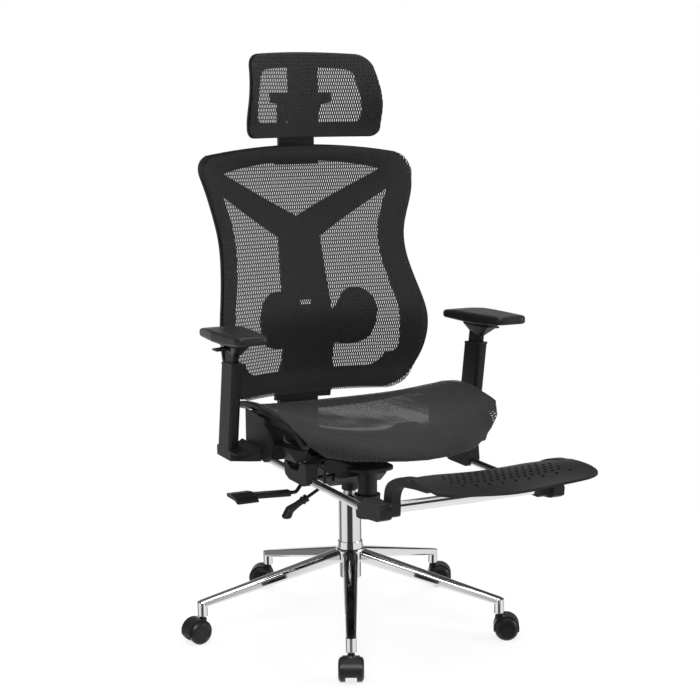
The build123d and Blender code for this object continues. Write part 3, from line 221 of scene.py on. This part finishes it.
SLIT_PITCH = 0.0050
SLIT_ROW = 0.0080
YARN_TINT = 0.03
YARN_DEPTH = 0.0006
YARN_TONE_SCALE = 60.0
YARN_TONE_CHANGE = 0.2
FIBRE_SCALE = 1900.0
FIBRE_SHARE = 0.3
# measures from a slit's middle, its outline being 1: over the first two the yarn begins,
# and over the others it swells to its crest
YARN_EDGE = (0.75, 1.25)
YARN_SWELL = (0.8, 3.2)


def net(name, level, slit_width, slit_length, sheen):
    """Knitted net: yarn round slits in a brick pattern, which are clear through."""
    material, tree, output = new_material(name)
    flat = add_node(tree, "ShaderNodeUVMap", uv_map="flat").outputs["UV"]
    place = add_node(tree, "ShaderNodeSeparateXYZ", {0: flat})
    rows = math_node(tree, "DIVIDE", place.outputs["Y"], SLIT_ROW)
    odd_row = math_node(tree, "MODULO", math_node(tree, "FLOOR", rows), 2.0)
    shift = math_node(tree, "MULTIPLY", math_node(tree, "ABSOLUTE", odd_row), 0.5)
    unshifted = math_node(tree, "DIVIDE", place.outputs["X"], SLIT_PITCH)
    columns = math_node(tree, "ADD", unshifted, shift)
    in_column = math_node(tree, "SUBTRACT", math_node(tree, "FRACT", columns), 0.5)
    in_row = math_node(tree, "SUBTRACT", math_node(tree, "FRACT", rows), 0.5)
    wide = math_node(tree, "MULTIPLY", in_column, 2.0 * SLIT_PITCH / slit_width)
    tall = math_node(tree, "MULTIPLY", in_row, 2.0 * SLIT_ROW / slit_length)
    wide_part = math_node(tree, "MULTIPLY", wide, wide)
    tall_part = math_node(tree, "POWER", math_node(tree, "ABSOLUTE", tall), 4.0)
    from_slit = math_node(tree, "ADD", wide_part, tall_part)
    fibres = noise(tree, flat, FIBRE_SCALE, 2.0)
    swell = remap(tree, from_slit, *YARN_SWELL)
    thread = math_node(tree, "MULTIPLY_ADD", fibres, FIBRE_SHARE, swell)
    tone = noise(tree, flat, YARN_TONE_SCALE, 3.0)
    darker = grey(level * (1.0 - YARN_TONE_CHANGE), YARN_TINT)
    paler = grey(level * (1.0 + YARN_TONE_CHANGE), YARN_TINT)
    surface = {
        "Base Color": between(tree, tone, darker, paler),
        "Roughness": 0.6,
        "Sheen Weight": sheen,
        "Sheen Roughness": 0.4,
        "Specular IOR Level": 0.2,
        "Normal": relief(tree, thread, 0.7, YARN_DEPTH),
        "Alpha": remap(tree, from_slit, *YARN_EDGE),
    }
    principled(tree, output, surface)
    return material


# =====================================================================
# Materials of the slots
# =====================================================================

MATERIALS = {
    "chrome": metal("chrome", 0.86, 0.05),
    "column_steel": metal("column_steel", 0.84, 0.05, streak=0.05),
    "piston_steel": metal("piston_steel", 0.62, 0.20, streak=0.15),
    "mechanism_paint": moulded("mechanism_paint", 0.007, 0.42, grain=900.0, bump=0.2),
    "lever_paint": moulded("lever_paint", 0.007, 0.36, grain=900.0, bump=0.15),
    "zinc": metal("zinc", 0.50, 0.30, streak=0.1),
    "bar_paint": moulded("bar_paint", 0.007, 0.42, grain=900.0, bump=0.2),
    "frame_plastic": moulded("frame_plastic", 0.008, 0.45, specular=0.22),
    "back_plastic": moulded("back_plastic", 0.008, 0.50, specular=0.22),
    "arm_plastic": moulded("arm_plastic", 0.009, 0.42, specular=0.22),
    "grip_plastic": moulded("grip_plastic", 0.009, 0.42, grain=1100.0),
    "pad_foam": moulded("pad_foam", 0.010, 0.38, grain=1900.0, bump=0.3, worn=0.15),
    "caster_plastic": moulded("caster_plastic", 0.012, 0.34, grain=1100.0),
    "wheel_plastic": moulded("wheel_plastic", 0.012, 0.28, grain=1100.0, bump=0.12),
    "seat_net": net("seat_net", 0.024, slit_width=0.0014, slit_length=0.0058, sheen=0.06),
    "back_net": net("back_net", 0.017, slit_width=0.0012, slit_length=0.0068, sheen=0.05),
    "footrest_plastic": moulded("footrest_plastic", 0.008, 0.44, specular=0.22),
}

for node_name, node in NODES.items():
    node.data.materials.clear()
    node.data.materials.append(MATERIALS[SLOT_OF[node_name]])


def stand_for(piece, node_name):
    """The piece takes a node's place, with its material, its body and its slot."""
    slot_name = SLOT_OF[node_name]
    piece.data.materials.append(MATERIALS[slot_name])
    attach(piece, BODY_OF[node_name])
    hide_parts(node_name)


# =====================================================================
# Nets: the outward face of each CAD net, as a stretched sheet
# =====================================================================

NET_FLOAT = 0.0003
NET_THICKEST = 0.00352
RAY_REACH = 0.02
RAY_START = 0.0001
SAME_PLACE = 0.00001

# points on the side of each net that isn't sat on or leaned against
BEHIND_BACK = Vector((0, 0.7, 0.76))
BEHIND_HEAD = Vector((0, 0.7, 1.15))
UNDER_SEAT = Vector((0, -0.12, 0.30))


def is_outward(face, net_tree, hidden_side):
    """True for a face of the net's outer skin, with the other skin close behind it."""
    centre = face.calc_center_median()
    if face.normal.dot(centre - hidden_side) <= 0:
        return False
    start = centre - face.normal * RAY_START
    distance = net_tree.ray_cast(start, -face.normal, RAY_REACH)[3]
    return distance is not None and distance < NET_THICKEST


def net_sheet(node_name, hidden_side, across, along):
    """The outward skin of a CAD net as a sheet of its own, and the skin's area."""
    skin = bmesh.new()
    skin.from_mesh(NODES[node_name].data)
    bmesh.ops.remove_doubles(skin, verts=skin.verts, dist=SAME_PLACE)
    skin.normal_update()
    net_tree = BVHTree.FromBMesh(skin)
    spare = [face for face in skin.faces if not is_outward(face, net_tree, hidden_side)]
    bmesh.ops.delete(skin, geom=spare, context="FACES")
    for vertex in skin.verts:
        vertex.co += vertex.normal * NET_FLOAT
    flat = skin.loops.layers.uv.new("flat")
    for face in skin.faces:
        for loop in face.loops:
            loop[flat].uv = (across(loop.vert.co), along(loop.vert.co))
    area = sum(face.calc_area() for face in skin.faces)
    mesh = bpy.data.meshes.new(node_name + "_sheet")
    skin.to_mesh(mesh)
    skin.free()
    mesh.shade_smooth()
    sheet = bpy.data.objects.new(node_name + "_sheet", mesh)
    SCENE.collection.objects.link(sheet)
    stand_for(sheet, node_name)
    return sheet, area


BOW = 1.1
FRONT_EDGE_HEIGHT = 0.49
DROP_SHARE = 0.9


def bowed(place):
    """Distance across a bowed net, a little longer than x because of the bow."""
    return place.x * (1.0 + BOW * place.x * place.x)


def upward(place):
    """Distance up a net that stands."""
    return place.z


def sideways(place):
    """Distance across the seat."""
    return place.x


def forward(place):
    """Distance towards the seat's front and then down over its edge."""
    drop = max(0.0, FRONT_EDGE_HEIGHT - place.z)
    return -place.y + drop * DROP_SHARE


back_sheet, back_area = net_sheet("back_mesh", BEHIND_BACK, bowed, upward)

head_sheet, head_area = net_sheet("headrest_mesh", BEHIND_HEAD, bowed, upward)

seat_sheet, seat_area = net_sheet("seat_mesh", UNDER_SEAT, forward, sideways)
# the seat is seen at a low angle, where the depth of the yarn closes its slits
SEAT_YARN_DEPTH = 0.0011
yarn_depth = seat_sheet.modifiers.new("yarn_depth", "SOLIDIFY")
yarn_depth.thickness = SEAT_YARN_DEPTH
yarn_depth.offset = -1.0

# =====================================================================
# Arm pads: soft closed forms in place of the plain solids
# =====================================================================

PAD_VOXEL = 0.0028
PAD_EASE = 0.5
PAD_EASE_ROUNDS = 4


def soft_pad(node_name):
    """The pad's cushion: its solid rounded over and eased, as foam in a skin."""
    mesh = NODES[node_name].data.copy()
    pad = bpy.data.objects.new(node_name + "_cushion", mesh)
    SCENE.collection.objects.link(pad)
    welder = bmesh.new()
    welder.from_mesh(mesh)
    bmesh.ops.remove_doubles(welder, verts=welder.verts, dist=SAME_PLACE)
    welder.to_mesh(mesh)
    welder.free()
    remesh = pad.modifiers.new("remesh", "REMESH")
    remesh.mode = "VOXEL"
    remesh.voxel_size = PAD_VOXEL
    ease = pad.modifiers.new("ease", "SMOOTH")
    ease.factor = PAD_EASE
    ease.iterations = PAD_EASE_ROUNDS
    graph = bpy.context.evaluated_depsgraph_get()
    shaped = bpy.data.meshes.new_from_object(pad.evaluated_get(graph))
    pad.modifiers.clear()
    pad.data = shaped
    shaped.materials.clear()
    shaped.shade_smooth()
    stand_for(pad, node_name)


soft_pad("arm_pad_right")
soft_pad("arm_pad_left")

# =====================================================================
# Floor
# =====================================================================

FLOOR_REACH = 9.0
FLOOR_HEIGHT = -0.0006
# distances from the chair's middle over which the floor fades to plain white
FADE_START = 0.55
FADE_END = 1.5
# the floor near the chair is part lit, so that shadows show, and part glowing
LIT_LEVEL = 0.24
GLOW_STRENGTH = 0.80
# what the floor throws back onto the chair
BOUNCE_LEVEL = 0.75
WHITE = grey(1.0)


def floor_material():
    """White floor that keeps a faint shadow near the chair and fades to plain white."""
    material, tree, output = new_material("studio_floor")
    reach = add_node(tree, "ShaderNodeVectorMath", {0: object_space(tree)}, operation="LENGTH")
    faded = remap(
        tree, reach.outputs["Value"], FADE_START, FADE_END, interpolation_type="SMOOTHSTEP"
    )
    path = add_node(tree, "ShaderNodeLightPath")
    seen = math_node(tree, "MAXIMUM", path.outputs["Is Camera Ray"], path.outputs["Is Glossy Ray"])
    seen = math_node(tree, "MAXIMUM", seen, path.outputs["Is Transmission Ray"])
    shade = add_node(tree, "ShaderNodeBsdfDiffuse", {"Color": grey(LIT_LEVEL)})
    glow = add_node(tree, "ShaderNodeEmission", {"Color": WHITE, "Strength": GLOW_STRENGTH})
    near = add_node(tree, "ShaderNodeAddShader", {0: shade.outputs[0], 1: glow.outputs[0]})
    far = add_node(tree, "ShaderNodeEmission", {"Color": WHITE, "Strength": 1.0})
    shown = add_node(
        tree, "ShaderNodeMixShader", {0: faded, 1: near.outputs[0], 2: far.outputs[0]}
    )
    unseen = add_node(tree, "ShaderNodeBsdfDiffuse", {"Color": grey(BOUNCE_LEVEL)})
    result = add_node(
        tree, "ShaderNodeMixShader", {0: seen, 1: unseen.outputs[0], 2: shown.outputs[0]}
    )
    tree.links.new(result.outputs[0], output.inputs["Surface"])
    return material


floor_corners = [
    (x * FLOOR_REACH, y * FLOOR_REACH, FLOOR_HEIGHT)
    for x, y in ((-1, -1), (1, -1), (1, 1), (-1, 1))
]
floor_mesh = bpy.data.meshes.new("studio_floor")
floor_mesh.from_pydata(floor_corners, [], [(0, 1, 2, 3)])
floor_mesh.materials.append(floor_material())
floor = bpy.data.objects.new("studio_floor", floor_mesh)
SCENE.collection.objects.link(floor)
# metal sees the panels of the studio below the horizon as well
floor.visible_glossy = False

# =====================================================================
# World: soft and even on plastic, dark and pale panels in metal, white in view
# =====================================================================

# shares of a turn round the chair with the panels' grey levels
PANELS_AROUND = (
    (0.00, 0.95), (0.09, 0.90), (0.115, 0.05), (0.245, 0.05), (0.27, 0.95), (0.50, 0.90),
    (0.55, 0.22), (0.62, 0.20), (0.66, 0.95), (0.80, 0.90), (0.84, 0.20), (0.90, 0.22), (0.94, 0.95),
)
# heights of the direction, from 0 at the horizon to 1 overhead, with the grey levels
PANELS_UPWARD = ((0.0, 0.9), (0.12, 0.95), (0.22, 0.14), (0.72, 0.12), (0.86, 0.95))
# below the horizon the panels turn into a pale floor between these heights
PALE_FROM = -0.30
PALE_TO = -0.55
PALE_LEVEL = 0.9
SKY_STRENGTH = 0.5


def background(tree, colour, strength):
    """A plain world shader."""
    inputs = {"Color": colour, "Strength": strength}
    return add_node(tree, "ShaderNodeBackground", inputs).outputs[0]


def studio_world():
    """The studio that lights the chair and shows in its metal."""
    world = bpy.data.worlds.new("studio")
    world.use_nodes = True
    tree = world.node_tree
    tree.nodes.clear()
    output = tree.nodes.new("ShaderNodeOutputWorld")
    path = add_node(tree, "ShaderNodeLightPath")
    direction = add_node(tree, "ShaderNodeTexCoord").outputs["Generated"]
    height = add_node(tree, "ShaderNodeSeparateXYZ", {0: direction}).outputs["Z"]
    around = add_node(
        tree, "ShaderNodeTexGradient", {"Vector": direction}, gradient_type="RADIAL"
    ).outputs["Fac"]
    panels = math_node(
        tree, "MULTIPLY", ramp(tree, around, PANELS_AROUND), ramp(tree, height, PANELS_UPWARD)
    )
    pale = remap(tree, height, PALE_FROM, PALE_TO, high=PALE_LEVEL)
    panels = math_node(tree, "MAXIMUM", panels, pale)
    channels = {"Red": panels, "Green": panels, "Blue": panels}
    mirrored = add_node(tree, "ShaderNodeCombineColor", channels).outputs[0]
    soft = background(tree, WHITE, SKY_STRENGTH)
    in_metal = background(tree, mirrored, 1.0)
    in_view = background(tree, WHITE, 1.0)
    unseen = add_node(
        tree, "ShaderNodeMixShader", {0: path.outputs["Is Glossy Ray"], 1: soft, 2: in_metal}
    )
    seen = math_node(
        tree, "MAXIMUM", path.outputs["Is Camera Ray"], path.outputs["Is Transmission Ray"]
    )
    result = add_node(tree, "ShaderNodeMixShader", {0: seen, 1: unseen.outputs[0], 2: in_view})
    tree.links.new(result.outputs[0], output.inputs["Surface"])
    return world


SCENE.world = studio_world()

# =====================================================================
# Lamps
# =====================================================================

LIT_POINT = Vector((0, 0, 0.6))


def softbox(name, place, size, power):
    """A square soft lamp aimed at the middle of the chair, its power in watts."""
    lamp = bpy.data.lights.new(name, "AREA")
    lamp.shape = "SQUARE"
    lamp.size = size
    lamp.energy = power
    holder = bpy.data.objects.new(name, lamp)
    SCENE.collection.objects.link(holder)
    holder.location = place
    holder.rotation_euler = (LIT_POINT - Vector(place)).to_track_quat("-Z", "Y").to_euler()


softbox("key", place=(-1.6, -2.6, 2.7), size=1.6, power=75.0)
softbox("fill", place=(2.8, -2.0, 1.5), size=1.8, power=40.0)
softbox("top", place=(0.2, 0.4, 2.9), size=1.6, power=35.0)

# =====================================================================
# Camera, as solved from the photograph
# =====================================================================

AZIMUTH = radians(-25.5876)
ELEVATION = radians(9.1295)
ROLL = radians(-0.59255)
DISTANCE = 3.3025
AIM = Vector((0.0, 0.0, 0.61221))
SENSOR_MM = 36.0
LENS_MM = 78.853
SHIFT = 0.002726

backward = Vector(
    (sin(AZIMUTH) * cos(ELEVATION), -cos(AZIMUTH) * cos(ELEVATION), sin(ELEVATION))
)
level_right = Vector((cos(AZIMUTH), sin(AZIMUTH), 0.0))
level_up = backward.cross(level_right)
right = level_right * cos(ROLL) + level_up * sin(ROLL)
up = level_up * cos(ROLL) - level_right * sin(ROLL)
turn = Matrix((right, up, backward)).transposed().to_4x4()

lens = bpy.data.cameras.new("camera")
lens.lens = LENS_MM
lens.sensor_width = SENSOR_MM
lens.sensor_fit = "HORIZONTAL"
lens.shift_x = SHIFT
camera = bpy.data.objects.new("camera", lens)
SCENE.collection.objects.link(camera)
camera.matrix_world = Matrix.Translation(AIM + backward * DISTANCE) @ turn
SCENE.camera = camera
SCENE.view_settings.view_transform = "Standard"
